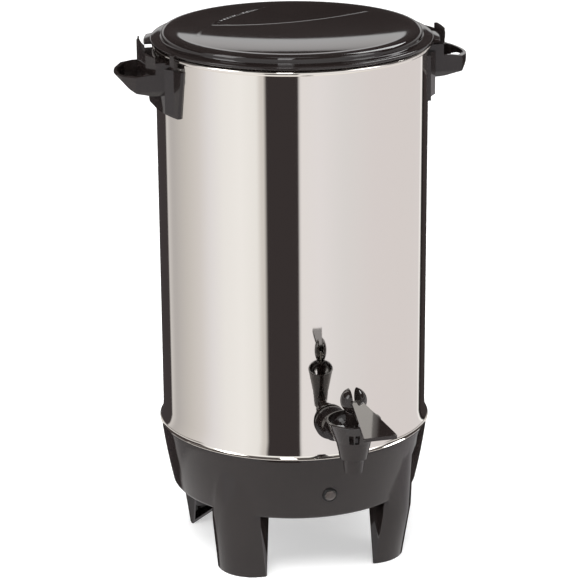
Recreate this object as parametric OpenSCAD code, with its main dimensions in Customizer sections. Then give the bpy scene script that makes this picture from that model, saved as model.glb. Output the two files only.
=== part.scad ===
/* [Tank] */
// Outer diameter of the steel tank
tank_d = 210; // [196:1:226]
// Thickness of the tank's sheet steel
tank_wall = 1.2; // [0.8:0.1:1.6]
// Height of the underside of the tank's floor above the table
tank_floor_z = 100; // [96:0.5:108]
// Height of the top of the rolled rim above the table
rim_z = 413.8; // [390:0.2:440]
// Radius of the curve from the tank's wall to its floor
tank_corner_r = 6; // [4:0.5:8]
// Radius of the rolled bead at the rim
bead_r = 1.9; // [1.6:0.1:2.3]
// Outer radius of the heating well in the tank's floor
well_r = 24; // [22:0.5:27]
// Depth of the heating well
well_depth = 10; // [8:0.5:12]
// Distance of the welded studs from the urn's axis
stud_reach = 92; // [90:0.5:94]
// Radius of a welded stud
stud_r = 2; // [1.5:0.1:2.5]

/* [Base] */
// Wall of the moulded base
base_wall = 2.5; // [2:0.1:3]
// Height of the bowl's lower edge above the table
apron_z = 54.2; // [50:0.2:58]
// How far the bowl's lip stands out past the tank
lip_out = 3.5; // [2.5:0.1:4.5]
// How far the bowl's lip rises above the tank's floor
lip_rise = 6.9; // [6:0.1:9]
// How much smaller the bowl's radius is than the tank's at its lower edge
bowl_taper = 6.6; // [5:0.1:8]
// How far the bowl's side bulges out of a straight line
bowl_bulge = 0.55; // [0:0.05:1]
// Radius of the bowl's rounded lower edge
apron_r = 2.6; // [2:0.1:3]
// Inner radius of the ledge that the tank stands on
ledge_r = 88; // [86:0.5:89]
// Thickness of the ledge
ledge_h = 3; // [2.5:0.1:4]
// Thickness of the cover plate under the base
cover_h = 2.5; // [2:0.1:3]
// How far the cover plate is set in from the bowl's lower edge
cover_inset = 1.8; // [1:0.1:3]
// Radius of the posts that the cover is screwed to
cover_post_r = 4.5; // [4:0.1:5]
// Distance of the cover's posts from the urn's axis
cover_post_reach = 84; // [80:0.5:86]

/* [Legs] */
// Width of a leg
leg_w = 44; // [38:0.5:48]
// Radius of a leg's rounded front
leg_front_r = 29.5; // [27:0.5:33]
// Distance from the urn's axis to a leg's front at the table
foot_reach = 95.4; // [92:0.2:98]
// Distance from the urn's axis to a leg's front at its knee
knee_reach = 102.8; // [101:0.1:104]
// Height of a leg's knee above the table
knee_z = 45; // [38:0.5:50]
// Lean of a leg above its knee, in degrees
upper_lean = 2.6; // [1.5:0.1:3.2]
// Thickness of a leg's sole
sole_h = 2.5; // [2:0.1:4]
// Distance from the urn's axis to a leg's inner edge at the base
leg_inner_top = 80; // [78:0.5:82]
// Distance from the urn's axis to a leg's inner edge at the table
leg_inner_foot = 84; // [82:0.5:86]
// Height of the lower edge of the web that closes a leg's inner side
web_z = 36; // [32:0.5:42]
// Radius of the arch in that web
web_arch_r = 15; // [12:0.5:17]

/* [Tap] */
// Height of the tap's shank above the table
tap_z = 137; // [130:0.5:150]
// Distance from the tank's side to the axis of the valve
tap_reach = 60.5; // [54:0.5:68]
// Radius of the shank
shank_r = 6.8; // [6:0.1:7.4]
// Radius of the waterway in the shank
waterway_r = 4.5; // [4:0.1:5]
// Radius of the flange against the tank
flange_r = 13.3; // [12.5:0.1:15]
// Thickness of the flange
flange_h = 2.5; // [2:0.1:3]
// Thickness of the rubber gasket at its middle
gasket_h = 1.5; // [1:0.1:2]
// Radius of the shank's collar
collar_r = 10.5; // [9.5:0.1:11.5]
// Length of the shank's collar
collar_len = 11; // [8:0.5:14]
// Radius of the valve's cup at its top
cup_r = 13.4; // [13.2:0.1:14.5]
// Radius of the valve's cup at its bottom
cup_foot_r = 10.5; // [10:0.1:11]
// How far the cup rises above the shank's axis
cup_up = 8; // [7.5:0.1:9]
// How far the cup hangs below the shank's axis
cup_down = 6; // [5.5:0.1:7]
// Wall of the valve's cup
cup_wall = 2.2; // [1.8:0.1:2.6]
// Outer radius of the nozzle at its top
nozzle_r = 8.1; // [7.6:0.1:8.6]
// Outer radius of the nozzle at its mouth
nozzle_mouth_r = 6.95; // [6.7:0.05:7.4]
// Length of the nozzle below the cup
nozzle_len = 11.5; // [10:0.5:14]
// Radius of the nozzle's bore
nozzle_bore_r = 5; // [4.5:0.1:5.2]
// Height of the bonnet
bonnet_h = 16.5; // [15:0.5:19]
// Radius of the bonnet at its lip
bonnet_r = 20.5; // [19:0.1:22]
// Thickness of the bonnet's lip
bonnet_lip = 1.6; // [1.2:0.1:2]
// Radius of the boss in the middle of the bonnet
boss_r = 6; // [5.5:0.1:6.5]
// How far the boss rises above the bonnet's lip
boss_up = 6.5; // [5.5:0.1:8]
// Radius of the valve's stem
stem_r = 2.5; // [2.2:0.1:2.7]
// Radius of the knuckle ball
ball_r = 10; // [9.5:0.1:10.5]
// Width of the slot through the knuckle
slot_w = 6.5; // [6:0.1:7]
// How far the pivot pin lies above the knuckle's flat underside
pin_up = 3.7; // [3.5:0.1:4]
// How far the middle of the ball lies above the pivot pin
ball_up = 4; // [3.5:0.1:4.5]
// Radius of the pivot pin
pin_r = 1.5; // [1.3:0.1:1.6]
// Distance from the valve's axis to the blade's outer edge
blade_reach = 68.5; // [60:0.5:74]
// Width of the blade at its outer edge
blade_w = 27; // [24:0.5:30]
// Width of the blade at its root
blade_root_w = 8; // [7:0.5:10]
// Thickness of the blade
blade_h = 3; // [2.5:0.1:3.5]
// Drop of the blade from root to outer edge, in degrees
blade_drop = 5.6; // [3:0.1:7]

/* [Pilot lamp] */
// Height of the lamp above the table
lamp_z = 75.2; // [70:0.2:82]
// Outer radius of the lamp's ring
lamp_ring_r = 6; // [5.5:0.1:6.5]
// Radius of the lamp's lens
lamp_lens_r = 4.4; // [4:0.1:4.6]

/* [Electrics] */
// Height of the main heater under the well
heater_h = 8; // [6:0.5:10]
// Radius of the keep-warm heater's loop
keep_r = 58; // [50:0.5:62]
// Radius of the keep-warm heater's sheath
keep_wire_r = 3.2; // [2.8:0.1:3.4]
// Length of the keep-warm heater's pins
keep_pin_len = 12; // [8:0.5:13]
// Distance of the thermostat and the fuse from the urn's axis
stat_reach = 39; // [38:0.5:42]
// Distance of the terminal block from the urn's axis
block_y = 55; // [53:0.5:57]
// Length of the terminal block
block_len = 40; // [36:0.5:44]

/* [Handles] */
// Length of the grips along the urn's side
grip_w = 56; // [50:1:62]
// How far the grips reach past the tank
grip_out = 35; // [29:0.5:41]
// Height of the grips where they meet the tank
grip_h = 15; // [13:0.2:17]
// Slope of the grips' underside and rim, up or down over their length
grip_slope = 3; // [1:0.2:4]
// How far the grips' upper edge lies below the rim
grip_drop = 16.8; // [14:0.2:19]
// Depth of the tray in a grip
tray_depth = 8; // [6:0.5:9]
// Wall of the handles
handle_wall = 2.5; // [2:0.1:3]
// Height of the plate that a handle is fixed by
plate_h = 36.8; // [34:0.2:44]
// Width of that plate at its top
plate_w = 88; // [80:0.5:92]
// Width of that plate at its foot
plate_foot_w = 78; // [74:0.5:80]
// Thickness of the plate
plate_t = 2.6; // [2.2:0.1:3]
// Outer radius of the block that guards the lid's lug, past the tank
block_out = 15.3; // [14.5:0.1:17]
// How far the rear part of the block's wall rises above the rim
block_up = 4.6; // [3:0.1:6]
// How far the front part of the block's wall lies below the rim
block_down = 1; // [0:0.1:2]
// Radius of the screws that hold the handles
handle_screw_r = 2.4; // [2:0.1:2.8]
// How deep those screws reach into a handle
handle_screw_len = 4; // [3.6:0.1:4.6]
// Radius of those screws' heads
handle_head_r = 4.2; // [3.8:0.1:5]

/* [Lid] */
// How far the lid reaches past the tank
lid_out = 4.5; // [4:0.1:6]
// Height of the lid's outer band
lid_band_h = 2.9; // [2:0.1:4]
// How far the raised disc's foot is set in from the lid's edge
disc_in = 7.5; // [6.2:0.1:9.5]
// Width of the raised disc's rounded shoulder
shoulder_w = 5; // [4:0.1:6]
// Height of the disc's crest above the lid's lower edge
ring_h = 9.5; // [8:0.1:12]
// Depth of the dish at the lid's middle, below the crest
dish_depth = 6.6; // [4:0.1:8]
// Depth of the finger scoop's front, below the crest
scoop_depth = 10.9; // [8.5:0.1:11.2]
// Rise of the scoop's floor towards the back, in degrees
scoop_rise = 7; // [6:0.1:7.4]
// Thickness of the lid
lid_wall = 2.5; // [2:0.1:2.8]
// Depth of the skirt inside the tank
skirt_h = 9; // [7:0.5:11]
// Turn of the finger scoop from the line of the handles, in degrees
lid_turn = -15.5; // [-25:0.5:25]
// How far the lugs reach past the lid
lug_out = 5; // [4:0.1:5.5]
// Width of the lugs
lug_w = 30; // [24:1:30]

/* [Percolator] */
// Outer radius of the pump's tube
tube_r = 4.5; // [4:0.1:5]
// Wall of the pump's tube
tube_wall = 0.8; // [0.6:0.1:1]
// How far the top of the tube lies below the lid's lower edge
tube_gap = 4.6; // [3:0.1:10]
// Radius of the bell that stands in the heating well
bell_r = 21; // [19:0.5:21.5]
// Height of the bell
bell_h = 12; // [10:0.5:15]
// Radius of the coffee basket
basket_r = 62; // [52:1:70]
// Height of the coffee basket
basket_h = 66; // [50:1:76]
// Wall of the coffee basket
basket_wall = 1; // [0.8:0.1:1.2]
// How far the basket's edge lies below the rim
basket_drop = 18; // [16:0.5:30]
// Radius of the holes in the basket and its cover
sieve_hole_r = 1.6; // [1.2:0.1:1.8]
// Distance between those holes
sieve_pitch = 11; // [9:0.5:14]

/* [Fits] */
// Running clearance between a shaft and its hole
run_gap = 0.06; // [0.03:0.01:0.1]
// Gap between pieces that seat on each other
seat_gap = 0.3; // [0.2:0.05:0.4]
// Clearance of a screw in its hole
screw_gap = 0.3; // [0.2:0.05:0.5]

/* [Hidden] */
$fn = 72;
eps = 0.01;
steel = "silver";
black = [0.24, 0.22, 0.21];
tank_r = tank_d / 2;
tank_in_r = tank_r - tank_wall;
bead_c = tank_r - tank_wall / 2 + bead_r;
bead_z = rim_z - bead_r;
well_z = tank_floor_z - well_depth;
ledge_z = tank_floor_z - ledge_h;
stud_angles = [0, 90, 180, 270];
stud_len = 9;
nut_h = 3.2;
nut_r = 4;
// base
lip_z = tank_floor_z + lip_rise;
flare_z = tank_floor_z + 2;
bowl_foot_r = tank_r - bowl_taper;
bowl_top_r = tank_r + 1.5;
cover_r = bowl_foot_r - base_wall - 0.9;
cover_z = apron_z + cover_inset;
cover_top = cover_z + cover_h;
cover_angles = [20, 160, 200, 340];
leg_angles = [45, 135, 225, 315];
knee_u = knee_reach - leg_front_r;
foot_u = foot_reach - leg_front_r * 1.013;
leg_top = ledge_z + ledge_h / 2;
lower_lean = atan((knee_u - foot_u) / knee_z);
// tap
valve_y = -tank_r - tap_reach;
cup_top = tap_z + cup_up;
cup_foot = tap_z - cup_down;
seat_z = cup_foot + 2;
nozzle_z = cup_foot - nozzle_len;
lip_top = cup_top + bonnet_h;
boss_top = lip_top + boss_up;
bonnet_floor = cup_top + 7;
spring_top = bonnet_floor - 2.5;
flat_z = boss_top + seat_gap;
pin_z = flat_z + pin_up;
ball_z = pin_z + ball_up;
spring_r = 5.2;
spring_wire = 0.55;
spring_seat = seat_z + 8;
// lamp and electrics
bowl_tilt = 10.5;
keep_z = tank_floor_z - seat_gap - keep_wire_r;
stat_y = -stat_reach;
fuse_x = -stat_reach;
// handles
plate_top = rim_z - 9.8;
plate_z = plate_top - plate_h;
grip_top = rim_z - grip_drop;
tray_floor = grip_top - tray_depth;
block_r = tank_r + block_out;
block_wall_in = block_r - handle_wall;
block_top = rim_z + block_up;
slot_floor = rim_z - 5;
block_step = 6;
handle_gap = 0.3;
plate_r = tank_r + handle_gap + plate_t;
screw_zs = [plate_z + 8, plate_z + 26];
screw_r = handle_screw_r;
boss_z = plate_z + 2.4;
grip_reach = tank_r + grip_out;
grip_foot = grip_top - grip_h;
// lid
lid_r = tank_r + lid_out;
disc_r = lid_r - disc_in;
lid_z = rim_z + seat_gap;
crest_z = lid_z + ring_h;
crest_r = disc_r - shoulder_w;
band_z = lid_z + 2.4;
band_top = band_z + lid_band_h;
// percolator
tube_top = lid_z - tube_gap;
bell_z = well_z + tank_wall + seat_gap;
basket_top = rim_z - basket_drop;
basket_z = basket_top - basket_h;

function bowl_r(z) = let (t = (z - apron_z - apron_r) / (flare_z - apron_z - apron_r))
    bowl_foot_r + (bowl_top_r - bowl_foot_r) * t + bowl_bulge * 4 * t * (1 - t);
function arc(c, r, from, to, n = 6) =
    [for (i = [0:n]) let (a = from + (to - from) * i / n) c + r * [cos(a), sin(a)]];
function unit(v) = v / norm(v);
function curve(p, n = 9) = [for (i = [0:n]) let (t = i / n, s = 1 - t)
    s * s * s * p[0] + 3 * s * s * t * p[1] + 3 * s * t * t * p[2] + t * t * t * p[3]];
function helix(r, z0, z1, turns, per_turn = 14) = [for (i = [0:turns * per_turn])
    let (a = 360 * i / per_turn) [r * cos(a), r * sin(a), z0 + (z1 - z0) * i / (turns * per_turn)]];

// Round bar along a list of points; side is a direction that the points never run along
module bar_along(path, r, side, sides = 8) {
    n = len(path);
    dirs = [for (i = [0:n - 1]) unit(path[min(i + 1, n - 1)] - path[max(i - 1, 0)])];
    points = [for (i = [0:n - 1]) let (u = unit(cross(dirs[i], side)), v = cross(dirs[i], u))
        for (k = [0:sides - 1]) path[i] + r * (cos(360 * k / sides) * u + sin(360 * k / sides) * v)];
    walls = [for (i = [0:n - 2]) for (k = [0:sides - 1]) let (l = (k + 1) % sides)
        [i * sides + k, i * sides + l, (i + 1) * sides + l, (i + 1) * sides + k]];
    ends = [[for (k = [0:sides - 1]) sides - 1 - k], [for (k = [0:sides - 1]) (n - 1) * sides + k]];
    polyhedron(points, concat(walls, ends), convexity = 4);
}

// Copies of a thing turned to each angle in a list
module turned(angles) {
    for (a = angles) rotate([0, 0, a]) children();
}

// Cylinder along -Y from one distance to another, at height z
module along_y(r, from, to, z, facets = 0) {
    translate([0, -from, z]) rotate([90, 0, 0]) cylinder(r = r, h = to - from, $fn = facets ? facets : $fn);
}

// Ring about the vertical axis
module ring(r_in, r_out, z, h) {
    translate([0, 0, z]) difference() {
        cylinder(r = r_out, h = h);
        translate([0, 0, -1]) cylinder(r = r_in, h = h + 2);
    }
}

// ---- tank ----

// Section of the tank's outside, drawn in by d
module tank_section(d) {
    top = bead_z - tank_floor_z;
    translate([0, tank_floor_z + d]) square([tank_r - tank_corner_r, top - d]);
    translate([0, tank_floor_z + tank_corner_r]) square([tank_r - d, top - tank_corner_r]);
    translate([tank_r - tank_corner_r, tank_floor_z + tank_corner_r]) circle(tank_corner_r - d);
    translate([0, well_z + d]) square([well_r - d, well_depth + 1]);
}

module urn_body() color(steel) difference() {
    union() {
        rotate_extrude() {
            difference() {
                tank_section(0);
                tank_section(tank_wall);
                translate([0, bead_z - 1]) square([tank_in_r, 3]);
            }
            translate([bead_c, bead_z]) circle(bead_r, $fn = 32);
        }
        turned(stud_angles) translate([stud_reach, 0, tank_floor_z - stud_len])
            cylinder(r = stud_r, h = stud_len + 0.5, $fn = 24);
    }
    along_y(shank_r + screw_gap, tank_r - 5, tank_r + 5, tap_z);
    for (s = [-1, 1], z = screw_zs) translate([s * tank_r, 0, z]) rotate([0, 90, 0])
        cylinder(r = screw_r + screw_gap, h = 12, center = true, $fn = 24);
}

// ---- base ----

// Section of the bowl with its lip and the ledge for the tank
module bowl_section() {
    steps = 8;
    side_z = [for (i = [0:steps]) apron_z + apron_r + (flare_z - apron_z - apron_r) * i / steps];
    fit_r = tank_corner_r + screw_gap + 0.1;
    corner = [tank_r - tank_corner_r, tank_floor_z + tank_corner_r];
    polygon(concat(
        [[bowl_foot_r - base_wall - 0.4, apron_z]],
        arc([bowl_foot_r - apron_r, apron_z + apron_r], apron_r, -90, 0, 4),
        [for (z = side_z) [bowl_r(z), z]],
        arc([tank_r + lip_out - 1.2, lip_z - 1.2], 1.2, -25, 90, 5),
        [[tank_r + fit_r - tank_corner_r, lip_z]],
        arc(corner, fit_r, 0, -asin(tank_corner_r / fit_r), 5),
        [[ledge_r, tank_floor_z], [ledge_r, ledge_z], [bowl_r(ledge_z) - base_wall, ledge_z]],
        [for (i = [steps - 1:-1:0]) [bowl_r(side_z[i]) - base_wall, side_z[i]]]));
}

// Rounded front of a leg that points along X: the part that two leaning cylinders share, which
// meet at the knee
module leg_core(r) {
    intersection_for (lean = [lower_lean, upper_lean])
        translate([knee_u, 0, knee_z]) rotate([0, lean, 0]) cylinder(r = r, h = 4 * knee_z, center = true);
}

// Side view of a leg, extruded to half a width either side
module leg_slab(half, floor_z, inner) {
    rotate([90, 0, 0]) linear_extrude(2 * half, center = true)
        polygon([[leg_inner_foot - inner, floor_z], [tank_r + 20, floor_z], [tank_r + 20, leg_top],
            [leg_inner_top - inner, leg_top], [leg_inner_top - inner, apron_z - 2]]);
}

module leg_outside() {
    intersection() {
        leg_core(leg_front_r);
        leg_slab(leg_w / 2, 0, 0);
    }
}

module leg_inside() {
    difference() {
        intersection() {
            leg_core(leg_front_r - base_wall);
            leg_slab(leg_w / 2 - base_wall, sole_h, 2);
            translate([0, -tank_r, 0]) cube([2 * tank_r, 2 * tank_r, ledge_z]);
        }
        leg_web();
    }
}

// Web across a leg's open inner side, with an arch below
module leg_web() {
    difference() {
        translate([leg_inner_top - 5, -leg_w / 2, web_z])
            cube([5 + base_wall, leg_w, tank_floor_z - web_z]);
        translate([leg_inner_top, 0, web_z]) rotate([0, 90, 0])
            cylinder(r = web_arch_r, h = 20, center = true);
    }
}

inlet_z = 78;
inlet_w = 28;
inlet_h = 18;
inlet_depth = 20;
inlet_face = tank_r + 1.2;
pad_face = inlet_face - 2;

module base_housing() color(black) difference() {
    union() {
        difference() {
            union() {
                rotate_extrude() bowl_section();
                turned(leg_angles) leg_outside();
                translate([-inlet_w / 2 - 5, pad_face - 8, inlet_z - inlet_h / 2 - 5])
                    cube([inlet_w + 10, 8, inlet_h + 10]);
            }
            turned(leg_angles) leg_inside();
        }
        turned(cover_angles) translate([cover_post_reach, 0, cover_top])
            cylinder(r = cover_post_r, h = ledge_z - cover_top + 1, $fn = 32);
    }
    turned(cover_angles) translate([cover_post_reach, 0, cover_top - 1])
        cylinder(r = 1.6 + run_gap, h = 14, $fn = 24);
    turned(stud_angles) translate([stud_reach, 0, ledge_z - 1])
        cylinder(r = stud_r + screw_gap, h = ledge_h + 2, $fn = 24);
    translate([-inlet_w / 2 - 0.3, pad_face - 30, inlet_z - inlet_h / 2 - 0.3])
        cube([inlet_w + 0.6, 40, inlet_h + 0.6]);
    translate([-inlet_w / 2 - 3.3, pad_face, inlet_z - inlet_h / 2 - 3.3]) cube([inlet_w + 6.6, 20, inlet_h + 6.6]);
    lamp_place() cylinder(r = lamp_ring_r - 1 + run_gap, h = 30, center = true);
}

module bottom_cover() color(black) difference() {
    translate([0, 0, cover_z]) cylinder(r = cover_r, h = cover_h);
    turned(leg_angles) translate([leg_inner_top - seat_gap, -leg_w / 2 - seat_gap, cover_z - 1])
        cube([40, leg_w + 2 * seat_gap, cover_h + 2]);
    turned(cover_angles) translate([cover_post_reach, 0, cover_z - 1])
        cylinder(r = 1.6 + screw_gap, h = cover_h + 2, $fn = 24);
    for (x = [-36:12:36]) translate([x - 2, -34, cover_z - 1]) cube([4, 30, cover_h + 2]);
}

module cover_screws() color("gray") turned(cover_angles) translate([cover_post_reach, 0, 0]) {
    translate([0, 0, cover_z - 2.2]) cylinder(r = 3.6, h = 2.2, $fn = 24);
    translate([0, 0, cover_z - 1]) cylinder(r = 1.6, h = cover_h + 12, $fn = 24);
}

module base_nuts() color("gray") turned(stud_angles) translate([stud_reach, 0, ledge_z - nut_h])
    difference() {
        cylinder(r = nut_r, h = nut_h, $fn = 6);
        translate([0, 0, -1]) cylinder(r = stud_r + run_gap, h = nut_h + 2, $fn = 24);
    }

// ---- electrics ----

module brew_heater() color("lightgray") {
    translate([0, 0, well_z - seat_gap - heater_h]) cylinder(r = well_r - 4, h = heater_h);
    for (s = [-1, 1]) translate([s * 12, 0, well_z - heater_h - 6.3]) cylinder(r = 2, h = 7, $fn = 24);
}

module keep_warm_heater() color("gray") {
    rotate([0, 0, 102]) rotate_extrude(angle = 336) translate([keep_r, keep_z]) circle(keep_wire_r, $fn = 32);
    for (s = [-1, 1]) rotate([0, 0, 90 + 15 * s]) translate([keep_r, 0, keep_z - keep_pin_len])
        cylinder(r = keep_wire_r / 2, h = keep_pin_len, $fn = 24);
}

module thermostat() color("tan") {
    translate([0, stat_y, tank_floor_z - seat_gap - 8]) cylinder(r = 9, h = 8);
    for (s = [-1, 1]) translate([5 * s - 1.5, stat_y - 0.4, tank_floor_z - seat_gap - 14]) cube([3, 0.8, 7]);
}

module thermal_fuse() color("white") translate([fuse_x, 0, tank_floor_z - seat_gap - 3.5]) {
    rotate([90, 0, 0]) cylinder(r = 3.5, h = 16, center = true, $fn = 32);
}

module terminal_block() color("ivory") difference() {
    translate([-block_len / 2, block_y - 7, cover_top]) cube([block_len, 14, 10]);
    for (x = [-15:6:15]) translate([x, block_y, cover_top + 4]) cylinder(r = 1.8, h = 10, $fn = 24);
}

module wire(points) bar_along(curve(points), 1.1, [1, 0, 0]);

module wiring() color("crimson") {
    front = block_y - 7.2;
    low = cover_top + 6.5;
    for (s = [-1, 1]) {
        wire([[7 * s, inlet_in - 8.2, inlet_z], [7 * s, inlet_in - 13, inlet_z], [10 * s, 69, low],
            [10 * s, block_y + 7.2, low]]);
        wire([[1.5 * s, 13.3 - bowl_r(lamp_z), lamp_z + 2.6], [1.5 * s, 30 - bowl_r(lamp_z), lamp_z - 2],
            [9 + 3 * s, 0, low - 3], [9 + 3 * s, front, low]]);
    }
    wire([[-12, front, low], [-14, 10, low], [-5, stat_y, 68], [-5, stat_y, tank_floor_z - 14.5]]);
    wire([[5, stat_y, tank_floor_z - 14.5], [5, stat_y, 74], [12, 0, 66], [12, 0, well_z - heater_h - 7]]);
    wire([[-12, 0, well_z - heater_h - 7], [-12, 0, 66], [fuse_x, -28, tank_floor_z - 3.8],
        [fuse_x, -8.2, tank_floor_z - 3.8]]);
    wire([[fuse_x, 8.2, tank_floor_z - 3.8], [fuse_x, 26, tank_floor_z - 3.8], [-6, 30, low], [-6, front, low]]);
}

inlet_in = inlet_face - inlet_depth;

module power_inlet() color(black) {
    difference() {
        union() {
            translate([-inlet_w / 2, inlet_in, inlet_z - inlet_h / 2]) cube([inlet_w, inlet_depth, inlet_h]);
            translate([-inlet_w / 2 - 3, pad_face, inlet_z - inlet_h / 2 - 3])
                cube([inlet_w + 6, inlet_face - pad_face, inlet_h + 6]);
        }
        translate([-inlet_w / 2 + 2, inlet_in + 4, inlet_z - inlet_h / 2 + 2])
            cube([inlet_w - 4, inlet_depth, inlet_h - 4]);
    }
    for (s = [-1, 1]) translate([7 * s, inlet_in - 8, inlet_z]) rotate([-90, 0, 0])
        cylinder(r = 2.35, h = inlet_depth + 4, $fn = 24);
}

// ---- pilot lamp ----

// Puts its children at the lamp, with Z pointing out of the bowl
module lamp_place() {
    translate([0, -bowl_r(lamp_z), lamp_z]) rotate([90 + bowl_tilt, 0, 0]) children();
}

module pilot_bezel() color(black) lamp_place() difference() {
    union() {
        translate([0, 0, seat_gap]) cylinder(r1 = lamp_ring_r, r2 = lamp_ring_r - 0.6, h = 1.6);
        translate([0, 0, -8]) cylinder(r = lamp_ring_r - 1, h = 8 + seat_gap + eps);
    }
    translate([0, 0, -9]) cylinder(r = lamp_lens_r + run_gap, h = 20);
}

module pilot_lens() color("white") lamp_place() difference() {
    union() {
        translate([0, 0, -6]) cylinder(r = lamp_lens_r, h = 7.8);
        translate([0, 0, 1.8]) intersection() {
            translate([0, 0, -4]) sphere(norm([lamp_lens_r, 4]));
            cylinder(r = lamp_lens_r, h = 5);
        }
    }
    translate([0, 0, -7]) cylinder(r = lamp_lens_r - 1.1, h = 8);
}

module pilot_bulb() color("orange") lamp_place() {
    translate([0, 0, -10]) cylinder(r = 2.4, h = 8, $fn = 32);
    translate([0, 0, -2]) sphere(2.4, $fn = 32);
    translate([0, 0, -13]) cylinder(r = 3, h = 3, $fn = 32);
}

// ---- handles ----

// Side view of a grip: X is the distance from the urn's axis
module grip_section() {
    low = grip_foot + grip_slope;
    polygon([[tank_r, grip_foot], [tank_r + 8, grip_foot], [grip_reach - 16, low],
        [grip_reach - 11, low + 1.2], [grip_reach - 6.5, low + 4], [grip_reach - 3, low + 8],
        [grip_reach + 0.6, grip_top], [block_r, grip_top + grip_slope], [tank_r, grip_top + grip_slope]]);
}

// Front view of a grip: its lower edges are chamfered
module grip_front_view() {
    h = grip_w / 2;
    polygon([[-h, rim_z], [-h, grip_foot + 5], [-h + 2.6, grip_foot + 1], [-h + 5, grip_foot],
        [h - 5, grip_foot], [h - 2.6, grip_foot + 1], [h, grip_foot + 5], [h, rim_z]]);
}

// Plan of a grip, drawn in by d
module grip_plan_of(d) {
    h = grip_w / 2 - d;
    end = grip_reach - d;
    polygon(concat([[0, -h], [end - 10.4, -h], [end - 4, -h + 10]],
        arc([end - 42, 0], 42, -20, 20, 8),
        [[end - 4, h - 10], [end - 10.4, h], [0, h]]));
}

// Plan of the block that guards the lid's lug, with a facet at each end, grown by d
module block_plan(d) {
    h = grip_w / 2;
    intersection() {
        circle(block_r + d);
        polygon([[0, -h], [block_r - 5.9 + d, -h], [block_r - 1 + d, -h + 12.5], [block_r + 9, -h + 12.5],
            [block_r + 9, h - 12.5], [block_r - 1 + d, h - 12.5], [block_r - 5.9 + d, h], [0, h]]);
    }
}

// Plan of the thick middle of the fixing plate
module boss_plan() {
    h = grip_w / 2;
    polygon([[0, -h - 8.5], [tank_r - 4.3, -h - 8.5], [tank_r + 2.7, -h], [tank_r + 5.2, -h / 2],
        [tank_r + 5.2, h / 2], [tank_r + 2.7, h], [tank_r - 4.3, h + 8.5], [0, h + 8.5]]);
}

// Right-hand handle, on the side of +X
module handle() difference() {
    union() {
        intersection() {
            ring(tank_r + handle_gap, plate_r, plate_z, plate_h);
            rotate([90, 0, 90]) linear_extrude(2 * tank_r) polygon([[-plate_foot_w / 2, plate_z],
                [plate_foot_w / 2, plate_z], [plate_w / 2, plate_top], [-plate_w / 2, plate_top]]);
        }
        translate([0, 0, boss_z]) linear_extrude(plate_top - boss_z) boss_plan();
        intersection() {
            rotate([90, 0, 0]) linear_extrude(grip_w + 2, center = true) grip_section();
            linear_extrude(2 * rim_z) grip_plan_of(0);
            rotate([90, 0, 90]) linear_extrude(2 * tank_r) grip_front_view();
        }
        translate([0, 0, grip_foot + 6]) linear_extrude(rim_z - block_down - grip_foot - 6) block_plan(0);
        intersection() {
            translate([0, 0, grip_foot + 6]) linear_extrude(block_top - 3 - grip_foot - 6) block_plan(0);
            translate([0, block_step - grip_w, 0]) cube([2 * tank_r, grip_w, 2 * rim_z]);
        }
        intersection() {
            translate([0, 0, block_top - 5]) linear_extrude(5) block_plan(0.9);
            translate([0, block_step - grip_w, 0]) cube([2 * tank_r, grip_w, 2 * rim_z]);
        }
    }
    // space for the tank, its rim and the lid
    translate([0, 0, plate_z - 1]) cylinder(r = tank_r + handle_gap, h = 2 * rim_z);
    translate([0, 0, slot_floor]) cylinder(r = block_wall_in, h = 60);
    // tray in the grip
    difference() {
        translate([0, 0, tray_floor]) linear_extrude(30) grip_plan_of(handle_wall);
        linear_extrude(2 * rim_z) block_plan(0);
    }
    for (z = screw_zs) translate([tank_r, 0, z]) rotate([0, 90, 0])
        cylinder(r = screw_r + run_gap, h = handle_screw_len + 0.3, $fn = 24);
}

module handle_right() color(black) handle();

module handle_left() color(black) rotate([0, 0, 180]) handle();

module handle_screws() color("gray") for (s = [0, 1], z = screw_zs) mirror([s, 0, 0])
    translate([0, 0, z]) rotate([0, 90, 0]) {
        translate([0, 0, tank_in_r - 3 - seat_gap]) cylinder(r = handle_head_r, h = 3, $fn = 32);
        translate([0, 0, tank_in_r - 1]) cylinder(r = screw_r, h = tank_wall + 1 + handle_screw_len, $fn = 24);
    }

// ---- tap ----

module tap_gasket() color("dimgray") difference() {
    along_y(flange_r - 1, tank_r - 2, tank_r + gasket_h, tap_z);
    cylinder(r = tank_r, h = 2 * rim_z, $fn = 360);
    along_y(shank_r + run_gap, tank_r - 5, tank_r + 9, tap_z);
}

module tap_flange() color(black) difference() {
    along_y(flange_r, tank_r + gasket_h, tank_r + gasket_h + flange_h, tap_z);
    along_y(shank_r + run_gap, tank_r - 5, tank_r + 9, tap_z);
}

module tap_nut() color(black) difference() {
    along_y(12, tank_in_r - 7, tank_in_r - 1.2, tap_z, 6);
    along_y(shank_r + run_gap, tank_in_r - 12, tank_in_r + 9, tap_z);
}

module tap_body() color(black) difference() {
    union() {
        along_y(shank_r, tank_in_r - 12, tank_r + tap_reach - 6, tap_z);
        along_y(collar_r, tank_r + gasket_h + flange_h, tank_r + gasket_h + flange_h + collar_len, tap_z);
        translate([0, valve_y, 0]) rotate_extrude() polygon([[0, nozzle_z], [nozzle_mouth_r, nozzle_z],
            [nozzle_r, cup_foot - 2], [cup_foot_r, cup_foot], [cup_r, cup_top], [0, cup_top]]);
    }
    along_y(waterway_r, tank_in_r - 14, tank_r + tap_reach, tap_z);
    translate([0, valve_y, 0]) rotate_extrude() polygon([[0, seat_z], [cup_foot_r - cup_wall, seat_z],
        [cup_r - cup_wall, cup_top + 1], [0, cup_top + 1]]);
    translate([0, valve_y, nozzle_z - 1]) cylinder(r = nozzle_bore_r, h = nozzle_len + cup_down);
}

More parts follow.
